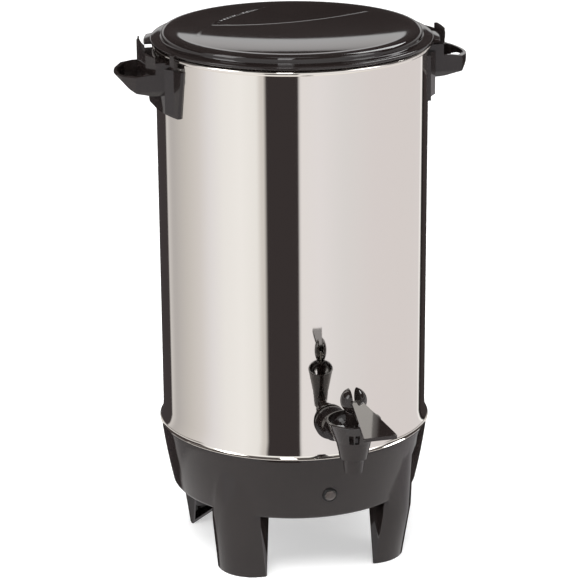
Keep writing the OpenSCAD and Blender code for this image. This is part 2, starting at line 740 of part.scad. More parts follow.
module tap_bonnet() color(black) translate([0, valve_y, 0]) difference() {
    rotate_extrude() polygon(concat([[cup_r - cup_wall - 1.5, cup_top], [cup_r + 0.7, cup_top],
        [cup_r + 1, cup_top + 1], [bonnet_r - 0.6, lip_top - 1.6], [bonnet_r, lip_top - 0.8],
        [bonnet_r, lip_top - 0.3], [bonnet_r - 0.5, lip_top], [bonnet_r - bonnet_lip, lip_top]],
        arc([boss_r, lip_top], bonnet_r - bonnet_lip - boss_r, 0, -70, 6),
        [[boss_r + 1.5, bonnet_floor], [boss_r, bonnet_floor + 2], [boss_r, boss_top - 0.6]],
        [[boss_r - 0.6, boss_top], [stem_r + run_gap, boss_top], [stem_r + run_gap, spring_top]],
        [[cup_r - cup_wall - 1.5, spring_top]]));
    for (a = [-7, 9]) rotate([0, 0, a - 15.5]) translate([-1.7, -cup_r - 5, cup_top + 1]) cube([3.4, 6, 8]);
}

module tap_stem() color("lightgray") translate([0, valve_y, 0]) difference() {
    union() {
        translate([0, 0, seat_z + 3]) cylinder(r = stem_r, h = pin_z + 2.3 - seat_z - 3, $fn = 48);
        translate([0, 0, seat_z + 3]) cylinder(r = stem_r + 1.5, h = 1.5, $fn = 48);
    }
    translate([0, 0, pin_z]) rotate([0, 90, 0]) cylinder(r = pin_r + run_gap, h = 20, center = true, $fn = 32);
}

module seat_cup() color("white") translate([0, valve_y, 0]) difference() {
    rotate_extrude() polygon([[0, seat_z + seat_gap], [6, seat_z + seat_gap], [6.7, seat_z + 1.2],
        [6.9, seat_z + 2.4], [6.9, spring_seat], [0, spring_seat]]);
    translate([0, 0, seat_z + 3 - seat_gap]) cylinder(r = stem_r + run_gap, h = 20, $fn = 48);
    translate([0, 0, seat_z + 3 - seat_gap]) cylinder(r = stem_r + 1.5 + run_gap, h = 1.5 + 2 * seat_gap, $fn = 48);
}

module tap_spring() color("silver") translate([0, valve_y, 0])
    bar_along(helix(spring_r, spring_seat + spring_wire + 0.1, spring_top - spring_wire - 0.1, 4),
        spring_wire, [0, 0, 1], 6);

module lever_pin() color("silver") translate([-ball_r + 2, valve_y, pin_z]) rotate([0, 90, 0])
    cylinder(r = pin_r, h = 2 * ball_r - 4, $fn = 32);

module tap_lever() color(black) translate([0, valve_y, 0]) difference() {
    union() {
        translate([0, 0, ball_z]) sphere(ball_r);
        translate([0, -8.5, ball_z + 2]) rotate([blade_drop, 0, 0]) translate([0, 0, -blade_h])
            linear_extrude(blade_h) blade_plan();
    }
    translate([-20, -20, flat_z - 20]) cube([40, 40, 20]);
    translate([-slot_w / 2, -80, ball_z + 2]) cube([slot_w, 160, 40]);
    translate([-slot_w / 2, -6, flat_z - 1]) cube([slot_w, 40, 40]);
    translate([0, 0, pin_z]) rotate([0, 90, 0]) cylinder(r = pin_r + run_gap, h = 40, center = true, $fn = 32);
}

// Plan of the blade: a fan from its root in the ball to a slightly hollow outer edge
module blade_plan() {
    reach = blade_reach - 8.5;
    hollow = 220;
    difference() {
        polygon([[-blade_root_w / 2, 3], [-blade_root_w / 2, 0], [-blade_w / 2 + 1, -reach + 1.2],
            [-blade_w / 2 + 1.6, -reach], [blade_w / 2 - 1.6, -reach], [blade_w / 2 - 1, -reach + 1.2],
            [blade_root_w / 2, 0], [blade_root_w / 2, 3]]);
        translate([0, -reach - hollow + 0.5]) circle(hollow, $fn = 360);
    }
}

// ---- percolator ----

module pump_stem() color(steel) difference() {
    union() {
        translate([0, 0, bell_z + bell_h]) cylinder(r = tube_r, h = tube_top - bell_z - bell_h);
        translate([0, 0, basket_z - 3 - seat_gap]) cylinder(r = tube_r + 2.2, h = 3);
    }
    translate([0, 0, bell_z]) cylinder(r = tube_r - tube_wall, h = tube_top);
}

module pump_base() color(steel) difference() {
    rotate_extrude() polygon([[0, bell_z], [bell_r, bell_z], [bell_r, bell_z + 1.2],
        [bell_r - 3, bell_z + bell_h - 4], [tube_r + 3, bell_z + bell_h],
        [tube_r + 3, bell_z + bell_h + 6], [0, bell_z + bell_h + 6]]);
    rotate_extrude() polygon([[0, bell_z - 1], [bell_r - 1.4, bell_z - 1],
        [bell_r - 4.2, bell_z + bell_h - 5], [tube_r - tube_wall, bell_z + bell_h - 1],
        [tube_r - tube_wall, bell_z + bell_h], [0, bell_z + bell_h]]);
    translate([0, 0, bell_z + bell_h]) cylinder(r = tube_r + run_gap, h = 20);
    for (a = [0:60:300]) rotate([0, 0, a]) translate([bell_r, 0, bell_z - 1]) rotate([0, 0, 45])
        cube([4, 4, 7], center = true);
}

module sieve(reach, z, h) {
    for (r = [tube_r + 9.5:sieve_pitch:reach]) let (n = floor(2 * PI * r / sieve_pitch))
        for (i = [0:n - 1]) rotate([0, 0, 360 * i / n])
            translate([r, 0, z - 1]) cylinder(r = sieve_hole_r, h = h + 2, $fn = 16);
}

module coffee_basket() color(steel) difference() {
    rotate_extrude() polygon([[tube_r + 0.6, basket_z], [basket_r - 4, basket_z],
        [basket_r, basket_z + 4], [basket_r, basket_top], [basket_r + 2, basket_top],
        [basket_r + 2, basket_top + 1], [basket_r - basket_wall, basket_top + 1],
        [basket_r - basket_wall, basket_z + 4.4], [basket_r - 4.4, basket_z + basket_wall],
        [tube_r + 1.6, basket_z + basket_wall], [tube_r + 1.6, basket_z + 24], [tube_r + 0.6, basket_z + 24]]);
    sieve(basket_r - 7, basket_z, basket_wall);
}

module basket_cover() color(steel) difference() {
    low = basket_top + 1 + seat_gap;
    plug_r = basket_r - basket_wall - 0.5;
    rotate_extrude() polygon([[tube_r + 0.6, low], [plug_r - 1, low], [plug_r - 1, low - 4],
        [plug_r, low - 4], [plug_r, low], [basket_r + 2, low], [basket_r + 2, low + 1],
        [tube_r + 1.6, low + 1], [tube_r + 1.6, low + 4], [tube_r + 0.6, low + 4]]);
    sieve(basket_r - 7, low, 1);
}

// ---- lid ----

// Height of the dish below its crest at a distance from the axis
function dish_drop(r) = dish_depth * (1 - pow(r / crest_r, 2));

// Top of the dish from the crest to the middle, lowered by d
function dish(d) = [for (i = [10:-1:0]) let (r = (crest_r - 1) * i / 10) [r, crest_z - dish_drop(r) - d]];

function back(points) = [for (i = [len(points) - 1:-1:0]) points[i]];

// Section of the lid's shell: skirt, band, shoulder and dish
module lid_section() {
    skirt_r = tank_in_r - 0.6;
    polygon(concat(
        [[skirt_r - lid_wall, lid_z - skirt_h + 1], [skirt_r - lid_wall + 1, lid_z - skirt_h],
        [skirt_r - 0.5, lid_z - skirt_h], [skirt_r, lid_z], [bead_c + 0.7, lid_z],
        [lid_r - 0.3, band_z], [lid_r, band_z + 0.4], [lid_r, band_top - 0.6], [lid_r - 0.6, band_top],
        [disc_r + 0.8, band_top - 0.9], [disc_r, band_top - 0.6]],
        [for (a = [15:15:90]) [crest_r + shoulder_w * cos(a),
            band_top - 0.6 + (crest_z - band_top + 0.6) * sin(a)]],
        dish(0), back(dish(lid_wall)),
        [[crest_r, crest_z - lid_wall], [crest_r + 1.6, crest_z - lid_wall - 1.2],
        [skirt_r - lid_wall, band_z]]));
}

// Plan of the leaf-shaped finger scoop, grown by d
module scoop_plan(d) intersection() {
    translate([-0.48 * crest_r, 1.71 * crest_r]) circle(1.61 * crest_r + d, $fn = 180);
    translate([0.69 * crest_r, -0.27 * crest_r]) circle(1.41 * crest_r + d, $fn = 180);
    circle(crest_r - 5 + d);
}

// Space above the scoop's sloping floor, lowered by d
module above_scoop(d) rotate([0, 0, 33]) translate([0, 13.3, crest_z - scoop_depth - d])
    rotate([scoop_rise, 0, 0]) translate([-2 * lid_r, -60, 0]) cube([4 * lid_r, 4 * lid_r, 60]);

module lid() color(black) {
    rotate([0, 0, lid_turn]) difference() {
        union() {
            rotate_extrude() lid_section();
            // walls and floor of the scoop
            intersection() {
                translate([0, 0, lid_z - 6]) linear_extrude(crest_z - lid_z + 6) scoop_plan(lid_wall);
                rotate_extrude() polygon(concat([[0, lid_z - 10]], back(dish(0.5)),
                    [[crest_r - 1, lid_z - 10]]));
                above_scoop(lid_wall);
            }
        }
        intersection() {
            translate([0, 0, lid_z - 5]) linear_extrude(60) scoop_plan(0);
            above_scoop(0);
        }
    }
    for (a = [0, 180]) rotate([0, 0, a]) {
        intersection() {
            difference() {
                translate([0, 0, lid_z]) cylinder(r = lid_r + lug_out, h = band_top - lid_z - 0.6);
                translate([0, 0, lid_z - 1]) cylinder(r = lid_r - 1.6, h = 9);
            }
            translate([tank_r, -lug_w / 2, lid_z]) cube([30, lug_w, 9]);
        }
        // catch that hangs beside the handle
        rotate([0, 0, 23]) intersection() {
            ring(bead_c + bead_r + 0.5, lid_r + 1.5, lid_z - 8.8, 12);
            translate([tank_r, -2.75, lid_z - 8.8]) cube([30, 5.5, 12]);
        }
    }
}

urn_body();
base_housing();
bottom_cover();
cover_screws();
base_nuts();
brew_heater();
keep_warm_heater();
thermostat();
thermal_fuse();
terminal_block();
wiring();
power_inlet();
pilot_bezel();
pilot_lens();
pilot_bulb();
handle_left();
handle_right();
handle_screws();
tap_gasket();
tap_flange();
tap_nut();
tap_body();
tap_bonnet();
tap_stem();
seat_cup();
tap_spring();
lever_pin();
tap_lever();
pump_stem();
pump_base();
coffee_basket();
basket_cover();
lid();
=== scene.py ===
"""Coffee urn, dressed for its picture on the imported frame.

Lengths are written in millimetres and turned to metres where a mesh is made. The frame is the
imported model's: origin on the table under the urn's axis, Z up, tap towards -Y, handles along X.
"""

import logging
import math
from dataclasses import dataclass
from enum import Enum
from typing import Sequence

import bpy
from mathutils import Euler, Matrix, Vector


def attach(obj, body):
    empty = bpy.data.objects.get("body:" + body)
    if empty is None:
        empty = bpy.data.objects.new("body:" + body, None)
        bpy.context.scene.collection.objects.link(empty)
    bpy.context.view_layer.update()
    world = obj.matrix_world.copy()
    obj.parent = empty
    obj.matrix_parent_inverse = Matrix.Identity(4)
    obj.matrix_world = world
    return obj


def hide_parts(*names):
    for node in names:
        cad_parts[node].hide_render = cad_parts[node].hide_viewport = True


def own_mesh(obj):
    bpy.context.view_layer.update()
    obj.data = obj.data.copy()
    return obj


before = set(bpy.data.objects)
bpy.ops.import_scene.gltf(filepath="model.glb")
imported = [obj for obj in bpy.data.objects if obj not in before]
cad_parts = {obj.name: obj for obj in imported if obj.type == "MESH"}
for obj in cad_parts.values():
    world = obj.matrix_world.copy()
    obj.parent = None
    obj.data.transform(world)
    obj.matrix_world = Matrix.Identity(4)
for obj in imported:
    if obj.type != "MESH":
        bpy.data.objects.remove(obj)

LOG = logging.getLogger("coffee_urn")
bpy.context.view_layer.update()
MM = 0.001
SEAM_MM, WELD_MM = 0.001, 0.002  # points of a turned piece or a solid that lie closer are one
FLAT_DEG = 0.5  # faces that meet at less are one flat face
NOISE_LOW, NOISE_HIGH = 0.3, 0.7  # where nearly all of a noise texture's factor lies
WHITE = "FFFFFF"
Point2 = tuple[float, float]
Point3 = tuple[float, float, float]
Tones = tuple[tuple[float, str], ...]
Material = bpy.types.Material
Node = bpy.types.Node
Object = bpy.types.Object
Socket = bpy.types.NodeSocket
Tree = bpy.types.NodeTree


# Colours and nodes


class Sum(Enum):
    """What a math node does with its inputs."""

    ADD = "ADD"
    SUBTRACT = "SUBTRACT"
    MULTIPLY = "MULTIPLY"
    MULTIPLY_ADD = "MULTIPLY_ADD"
    ABSOLUTE = "ABSOLUTE"
    ARCTAN2 = "ARCTAN2"


def linear(code: str) -> tuple[float, float, float, float]:
    """Turn an sRGB hex colour into a linear one.

    Args:
        code: Six hex digits, red first.

    Returns:
        Linear red, green, blue and an alpha of 1.
    """
    parts = [int(code[i:i + 2], 16) / 255 for i in (0, 2, 4)]
    red, green, blue = (c / 12.92 if c <= 0.04045 else ((c + 0.055) / 1.055) ** 2.4 for c in parts)
    return (red, green, blue, 1.0)


def shade(code: str, times: float = 1.0, plus: int = 0) -> str:
    """Make a hex colour lighter or darker.

    Args:
        code: Six hex digits, red first.
        times: Factor for each of the three values.
        plus: What is added to each after that.

    Returns:
        The new colour in hex.
    """
    values = (int(int(code[i:i + 2], 16) * times) + plus for i in (0, 2, 4))
    return "".join(f"{min(255, value):02X}" for value in values)


def add_node(tree: Tree, kind: str, settings: dict | None = None, values: dict | None = None,
             links: dict | None = None) -> Node:
    """Add a node with its settings, fixed inputs and links.

    Args:
        tree: The node tree that gets it.
        kind: Node type, such as "ShaderNodeTexNoise".
        settings: Attributes of the node, by name.
        values: Fixed inputs, by socket name or number.
        links: Sockets to link into the node, by input name or number.

    Returns:
        The new node.
    """
    node = tree.nodes.new(kind)
    for name, value in (settings or {}).items():
        setattr(node, name, value)
    for name, value in (values or {}).items():
        node.inputs[name].default_value = value
    for name, socket in (links or {}).items():
        tree.links.new(socket, node.inputs[name])
    return node


def calc(tree: Tree, operation: Sum, *terms: float | Socket, clamp: bool = False) -> Socket:
    """Reckon with a math node.

    Args:
        tree: The node tree that gets it.
        operation: What the node does.
        terms: Its inputs in order, numbers or sockets.
        clamp: Whether the result stays between 0 and 1.

    Returns:
        The result's socket.
    """
    node = add_node(tree, "ShaderNodeMath", {"operation": operation.value, "use_clamp": clamp})
    for plug, term in zip(node.inputs, terms):
        if isinstance(term, Socket):
            tree.links.new(term, plug)
        else:
            plug.default_value = term
    return node.outputs[0]


def remap(tree: Tree, source: Socket, start: Point2 = (0, 1), end: Point2 = (0, 1)) -> Socket:
    """Map a factor from one range onto another and keep it inside.

    Args:
        tree: The node tree that gets the node.
        source: The factor's socket.
        start: Range that the factor comes from.
        end: Range that it goes to.

    Returns:
        The result's socket.
    """
    return add_node(tree, "ShaderNodeMapRange",
                    values={"From Min": start[0], "From Max": start[1], "To Min": end[0],
                            "To Max": end[1]}, links={"Value": source}).outputs["Result"]


def ramp(tree: Tree, source: Socket, stops: Tones) -> Socket:
    """Lay a colour ramp over a factor.

    Args:
        tree: The node tree that gets it.
        source: Factor socket.
        stops: Position and hex colour of each stop, in order.

    Returns:
        The ramp's colour socket.
    """
    node = add_node(tree, "ShaderNodeValToRGB", links={"Fac": source})
    band = node.color_ramp
    while len(band.elements) < len(stops):
        band.elements.new(0.5)
    for element, (place, code) in zip(band.elements, stops):
        element.position = place
        element.color = linear(code)
    return node.outputs["Color"]


# Finishes


@dataclass(frozen=True)
class Finish:
    """A surface finish that becomes one material.

    Attributes:
        title: Name of the material, after what the real one is.
        colour: Main colour in hex.
        roughness: Mean roughness of the surface.
    """

    title: str
    colour: str
    roughness: float

    def build(self) -> Material:
        """Make the material, or find it if it was made before.

        Returns:
            The material.
        """
        found = bpy.data.materials.get(self.title)
        if found is not None:
            return found
        material = bpy.data.materials.new(self.title)
        material.use_nodes = True
        tree = material.node_tree
        shader = tree.nodes["Principled BSDF"]
        shader.inputs["Base Color"].default_value = linear(self.colour)
        shader.inputs["Roughness"].default_value = self.roughness
        place = add_node(tree, "ShaderNodeTexCoord").outputs["Object"]
        self.dress(tree, shader, place)
        return material

    def dress(self, tree: Tree, shader: Node, place: Socket) -> None:
        """Add this finish's own nodes.

        Args:
            tree: The material's nodes.
            shader: Its Principled BSDF.
            place: Object coordinates in metres.
        """
        raise NotImplementedError

    def noise(self, tree: Tree, place: Socket, size_mm: float, detail: float = 2.0,
              stretch: Point3 = (1, 1, 1)) -> Socket:
        """Add noise with features of a real size.

        Args:
            tree: The material's nodes.
            place: Object coordinates in metres.
            size_mm: Rough width of a blotch in millimetres.
            detail: Octaves of finer noise.
            stretch: Scale of the pattern along each axis.

        Returns:
            The noise factor's socket.
        """
        mapped = add_node(tree, "ShaderNodeMapping", values={"Scale": stretch},
                          links={"Vector": place}).outputs["Vector"]
        return add_node(tree, "ShaderNodeTexNoise", values={"Scale": 1 / (size_mm * MM),
                        "Detail": detail}, links={"Vector": mapped}).outputs["Fac"]

    def gloss(self, tree: Tree, shader: Node, source: Socket, low: float,
              high: float) -> None:
        """Let the roughness follow a noise factor.

        Args:
            tree: The material's nodes.
            shader: Its Principled BSDF.
            source: The noise factor's socket.
            low: Share of the mean roughness where the factor is low.
            high: Share of it where the factor is high.
        """
        rough = remap(tree, source, (NOISE_LOW, NOISE_HIGH),
                      (self.roughness * low, self.roughness * high))
        tree.links.new(rough, shader.inputs["Roughness"])

    def bump(self, tree: Tree, shader: Node, height: Socket, depth_mm: float) -> None:
        """Raise the surface by a height field of a real depth.

        Args:
            tree: The material's nodes.
            shader: Its Principled BSDF.
            height: The height field's socket.
            depth_mm: Its depth in millimetres.
        """
        node = add_node(tree, "ShaderNodeBump", values={"Strength": 1.0,
                        "Distance": depth_mm * MM}, links={"Height": height})
        tree.links.new(node.outputs["Normal"], shader.inputs["Normal"])


@dataclass(frozen=True)
class PolishedSteel(Finish):
    """Stainless sheet, drawn and mirror polished: a clear warm reflection with a faint haze."""

    def dress(self, tree: Tree, shader: Node, place: Socket) -> None:
        """Hazy blotches, fine buffing marks round the tank and a slow ripple of the sheet."""
        shader.inputs["Metallic"].default_value = 1.0
        haze = self.noise(tree, place, size_mm=26, detail=3)
        marks = self.noise(tree, place, size_mm=1.6, detail=1, stretch=(0.08, 0.08, 1))
        both = calc(tree, Sum.MULTIPLY_ADD, haze, 0.6, marks)
        self.gloss(tree, shader, both, low=0.6, high=1.6)
        ripple = self.noise(tree, place, size_mm=60, detail=0)
        self.bump(tree, shader, ripple, depth_mm=0.01)


@dataclass(frozen=True)
class MouldedPlastic(Finish):
    """Injection-moulded heatproof plastic off a polished mould: glossy, with faint orange peel.

    Attributes:
        peel_mm: Depth of the orange peel in millimetres.
    """

    peel_mm: float = 0.003

    def dress(self, tree: Tree, shader: Node, place: Socket) -> None:
        """Slow colour drift, patchy gloss and orange peel."""
        shader.inputs["IOR"].default_value = 1.5
        drift = self.noise(tree, place, size_mm=45)
        tree.links.new(ramp(tree, drift, ((0.3, self.colour), (0.75, shade(self.colour, plus=6)))),
                       shader.inputs["Base Color"])
        self.gloss(tree, shader, self.noise(tree, place, size_mm=12, detail=3), low=0.8, high=1.3)
        self.bump(tree, shader, self.noise(tree, place, size_mm=2.2, detail=1), self.peel_mm)


@dataclass(frozen=True)
class BrushedMetal(Finish):
    """Rolled, turned or drawn metal left plain: satin, with fine streaks along the draw.

    Attributes:
        streak: Scale of the streaks along each axis.
    """

    streak: Point3 = (1, 1, 0.06)

    def dress(self, tree: Tree, shader: Node, place: Socket) -> None:
        """Streaks in colour, gloss and height."""
        shader.inputs["Metallic"].default_value = 1.0
        # real brush lines are 0.05 mm apart, drawn at 0.5 mm so that they show
        lines = self.noise(tree, place, size_mm=0.5, stretch=self.streak)
        self.gloss(tree, shader, lines, low=0.7, high=1.3)
        self.bump(tree, shader, lines, depth_mm=0.01)


@dataclass(frozen=True)
class SoftRubber(Finish):
    """Moulded silicone rubber: matt, slightly milky, with a dusty bloom."""

    def dress(self, tree: Tree, shader: Node, place: Socket) -> None:
        """Bloom that varies the gloss, and a fine grain."""
        shader.inputs["IOR"].default_value = 1.41
        self.gloss(tree, shader, self.noise(tree, place, size_mm=3, detail=3), low=0.85, high=1.1)
        self.bump(tree, shader, self.noise(tree, place, size_mm=0.4), depth_mm=0.01)


@dataclass(frozen=True)
class PressedResin(Finish):
    """Phenolic or ceramic pressing: matt and fine-grained, with darker flecks of filler."""

    def dress(self, tree: Tree, shader: Node, place: Socket) -> None:
        """Flecks in colour and a fine pressed grain."""
        flecks = self.noise(tree, place, size_mm=0.9, detail=4)
        dark = shade(self.colour, times=0.8)
        tree.links.new(ramp(tree, flecks, ((0.3, dark), (0.6, self.colour))),
                       shader.inputs["Base Color"])
        self.bump(tree, shader, self.noise(tree, place, size_mm=0.3, detail=3), depth_mm=0.02)


@dataclass(frozen=True)
class GlassFibreSleeve(Finish):
    """Braided glass-fibre sleeve on heatproof wire: matt ivory with a fine diagonal braid.

    Attributes:
        gap_shade: Hex colour between the strands, darker as painted shade for the shadow down
            between them.
        strand_mm: Width of a strand in millimetres.
    """

    # darker than the strands: painted shade between them
    gap_shade: str = "8F8674"
    strand_mm: float = 0.5

    def dress(self, tree: Tree, shader: Node, place: Socket) -> None:
        """Strands of the braid in height, with painted shade darkening the colour between them."""
        shader.inputs["Sheen Weight"].default_value = 0.3
        turns = 1 / (self.strand_mm * MM * 2 * math.pi) * 2
        braid = add_node(tree, "ShaderNodeTexWave", {"bands_direction": "DIAGONAL"},
                         {"Scale": turns, "Distortion": 1.0}, {"Vector": place}).outputs["Fac"]
        # the colour between the strands turns darker: painted shade for the shadow down between
        # them
        tree.links.new(ramp(tree, braid, ((0.2, self.gap_shade), (0.8, self.colour))),
                       shader.inputs["Base Color"])
        self.bump(tree, shader, braid, depth_mm=0.05)


@dataclass(frozen=True)
class ClearPlastic(Finish):
    """Moulded transparent plastic or glass: clear, smoky in its depth, sharp gloss.

    Attributes:
        ior: How strongly it bends light.
    """

    ior: float = 1.49

    def dress(self, tree: Tree, shader: Node, place: Socket) -> None:
        """Transmission with a slight flow mark in its gloss."""
        shader.inputs["Transmission Weight"].default_value = 0.85
        shader.inputs["IOR"].default_value = self.ior
        flow = self.noise(tree, place, size_mm=2, detail=1)
        self.gloss(tree, shader, flow, low=0.5, high=1.5)
        self.bump(tree, shader, flow, depth_mm=0.01)


TANK_STEEL = PolishedSteel("Mirror_polished_stainless_steel", "EFEAE3", 0.03)
BLACK_PLASTIC = MouldedPlastic("Moulded_heatproof_plastic", "1B1615", 0.05)
PLAIN_STEEL = BrushedMetal("Zinc_plated_and_drawn_steel", "B9B8B5", 0.32)
ALUMINIUM = BrushedMetal("Spun_aluminium", "C9CACB", 0.28)
SILICONE = SoftRubber("Moulded_silicone_rubber", "D6CFC4", 0.6)
# the pilot bezel's colour is darker than the other black plastic: painted shade for the dark ring
# round the lens; its satin roughness is the real finish
BEZEL_PLASTIC_WITH_PAINTED_SHADE = MouldedPlastic("Satin_plastic_darkened_as_painted_shade", "080606", 0.5)
DARK_RUBBER = SoftRubber("Moulded_nitrile_rubber", "1E1A19", 0.55)
PHENOLIC = PressedResin("Pressed_phenolic_resin", "8B7355", 0.62)
CERAMIC = PressedResin("Glazed_steatite", "D9D2C0", 0.4)
SLEEVE = GlassFibreSleeve("Braided_glass_fibre_sleeve", "D8CFB8", 0.8)
LENS = ClearPlastic("Smoked_clear_lens", "8A7F7A", 0.03)
GLASS = ClearPlastic("Neon_lamp_glass", "E0A080", 0.05, 1.5)


def coat(item: Object, finish: Finish) -> None:
    """Give every material slot of an object one finish.

    Args:
        item: The object. It gets a slot if it has none.
        finish: The finish.
    """
    material = finish.build()
    if not item.material_slots:
        item.data.materials.append(material)
    for slot in item.material_slots:
        slot.material = material


# Modelling by hand


def rest() -> None:
    """Leave edit mode and deselect everything."""
    if bpy.context.object is not None and bpy.context.object.mode != "OBJECT":
        bpy.ops.object.mode_set(mode="OBJECT")
    bpy.ops.object.select_all(action="DESELECT")


def rounded(corners: Sequence[Point3], steps: int = 6) -> list[Point2]:
    """Round the corners of a closed outline.

    Args:
        corners: Place and radius of each corner in order, in millimetres. One of 0 stays sharp.
        steps: Segments of each rounding.

    Returns:
        The outline's points.
    """
    points: list[Point2] = []
    count = len(corners)
    for i, (x, y, radius) in enumerate(corners):
        here = Vector((x, y))
        if radius <= 0:
            points.append((x, y))
            continue
        back = Vector(corners[i - 1][:2]) - here
        ahead = Vector(corners[(i + 1) % count][:2]) - here
        angle = back.angle(ahead)
        room = 0.499 * min(back.length, ahead.length)
        reach = min(radius / math.tan(angle / 2), room)
        start, end = here + back.normalized() * reach, here + ahead.normalized() * reach
        size = reach * math.tan(angle / 2)
        inward = (back.normalized() + ahead.normalized()).normalized()
        middle = here + inward * size / math.sin(angle / 2)
        first, last = start - middle, end - middle
        turn = first.angle_signed(last)
        for k in range(steps + 1):
            a = -turn * k / steps
            c, s = math.cos(a), math.sin(a)
            points.append((middle.x + first.x * c - first.y * s,
                           middle.y + first.x * s + first.y * c))
    return points


def lathe(name: str, outline: Sequence[Point2], steps: int, centre: Point2 = (0, 0),
          smooth: float = 35, turn: tuple[float, float] = (0, 360)) -> Object:
    """Turn a closed section about an upright axis.

    Args:
        name: Name of the piece.
        outline: Distance from the axis and height of each point, in millimetres.
        steps: Segments round the axis.
        centre: Place of the axis, in millimetres.
        smooth: Largest angle that is shaded smooth, in degrees.
        turn: Where the turning starts and ends, in degrees from +X.

    Returns:
        The turned piece, with its ends closed where it isn't a full turn.
    """
    rest()
    bpy.ops.mesh.primitive_circle_add(vertices=len(outline), radius=0.1)
    item = bpy.context.object
    item.name = item.data.name = name
    c, s = math.cos(math.radians(turn[0])), math.sin(math.radians(turn[0]))
    for vertex, (radius, height) in zip(item.data.vertices, outline):
        vertex.co = ((centre[0] + radius * c) * MM, (centre[1] + radius * s) * MM, height * MM)
    bpy.ops.object.mode_set(mode="EDIT")
    bpy.ops.mesh.select_all(action="SELECT")
    bpy.ops.mesh.spin(steps=steps, angle=math.radians(turn[1] - turn[0]),
                      center=(centre[0] * MM, centre[1] * MM, 0), axis=(0, 0, 1))
    bpy.ops.mesh.select_all(action="SELECT")
    bpy.ops.mesh.remove_doubles(threshold=SEAM_MM * MM)
    if turn[1] - turn[0] < 360:
        bpy.ops.mesh.fill_holes(sides=0)
    bpy.ops.mesh.normals_make_consistent(inside=False)
    bpy.ops.object.mode_set(mode="OBJECT")
    bpy.ops.object.shade_smooth_by_angle(angle=math.radians(smooth))
    return item


def joined(name: str, items: Sequence[Object]) -> Object:
    """Join objects into one.

    Args:
        name: Name of the joined object.
        items: The objects. The first takes up the others.

    Returns:
        The joined object.
    """
    rest()
    for item in items:
        item.select_set(True)
    bpy.context.view_layer.objects.active = items[0]
    bpy.ops.object.join()
    items[0].name = items[0].data.name = name
    return items[0]


def soften(item: Object, width_mm: float, sharp: float) -> None:
    """Round an object's sharp edges off with a bevel and shade the rest smooth.

    Args:
        item: The object.
        width_mm: Width of the rounding in millimetres.
        sharp: Smallest angle of an edge that is rounded, in degrees.
    """
    bevel = item.modifiers.new("Mould_radius", "BEVEL")
    bevel.width = width_mm * MM
    bevel.segments = 2
    bevel.limit_method = "ANGLE"
    bevel.angle_limit = math.radians(sharp)
    rest()
    item.select_set(True)
    bpy.context.view_layer.objects.active = item
    bpy.ops.object.modifier_apply(modifier=bevel.name)
    bpy.ops.object.shade_smooth_by_angle(angle=math.radians(sharp))
    weighted = item.modifiers.new("Flat_faces_lead", "WEIGHTED_NORMAL")
    weighted.keep_sharp = True
    bpy.ops.object.modifier_apply(modifier=weighted.name)


# Studio


def hung(middle: Vector, facing: float, aside: float, up: float,
         reach: float) -> tuple[Vector, Euler]:
    """Place and turn of a lamp or card that looks at a point of the urn.

    Args:
        middle: The point that it looks at, in metres.
        facing: Direction of the camera round the urn, in degrees.
        aside: Degrees round the urn from the camera, to the right positive.
        up: Degrees above the table.
        reach: Distance from the point in metres.

    Returns:
        Its location and rotation.
    """
    turn, lift = math.radians(facing + aside), math.radians(up)
    place = middle + reach * Vector((math.cos(lift) * math.sin(turn),
                                     -math.cos(lift) * math.cos(turn), math.sin(lift)))
    return place, (middle - place).to_track_quat("-Z", "Y").to_euler()


def glowing(name: str, strength: float = 1.0) -> tuple[Material, Node]:
    """Make a material that only shines.

    Args:
        name: Name of the material.
        strength: How bright it is, 1 for white.

    Returns:
        The material and its emission node.
    """
    material = bpy.data.materials.new(name)
    material.use_nodes = True
    tree = material.node_tree
    tree.nodes.remove(tree.nodes["Principled BSDF"])
    glow = add_node(tree, "ShaderNodeEmission", values={"Strength": strength})
    tree.links.new(glow.outputs[0], tree.nodes["Material Output"].inputs["Surface"])
    return material, glow


def only_mirrored(item: Object) -> None:
    """Hide an object from everything but mirrored rays."""
    item.visible_camera = item.visible_diffuse = item.visible_shadow = False
    item.visible_transmission = False


@dataclass
class Card:
    """Shining white card that only mirrored rays see.

    Attributes:
        name: Name of the card.
        aside: Degrees round the urn from the camera, to the right positive.
        up: Degrees above the table.
        reach: Distance from the lid in metres.
        size: Width and height of the card in metres.
        shine: How bright it is, 1 for white.
        lid_z: Height of the lid, which the card looks at, in metres.
    """

    name: str
    aside: float
    up: float
    reach: float
    size: Point2
    shine: float
    lid_z: float = 0.42

    def build(self, facing: float) -> None:
        """Hang the card over the urn.

        Args:
            facing: Direction of the camera round the urn, in degrees.
        """
        rest()
        bpy.ops.mesh.primitive_plane_add(size=1)
        card = bpy.context.object
        card.name = self.name
        card.scale = (*self.size, 1)
        card.location, card.rotation_euler = hung(Vector((0, 0, self.lid_z)), facing, self.aside,
                                                  self.up, self.reach)
        card.data.materials.append(glowing(self.name, self.shine)[0])
        only_mirrored(card)


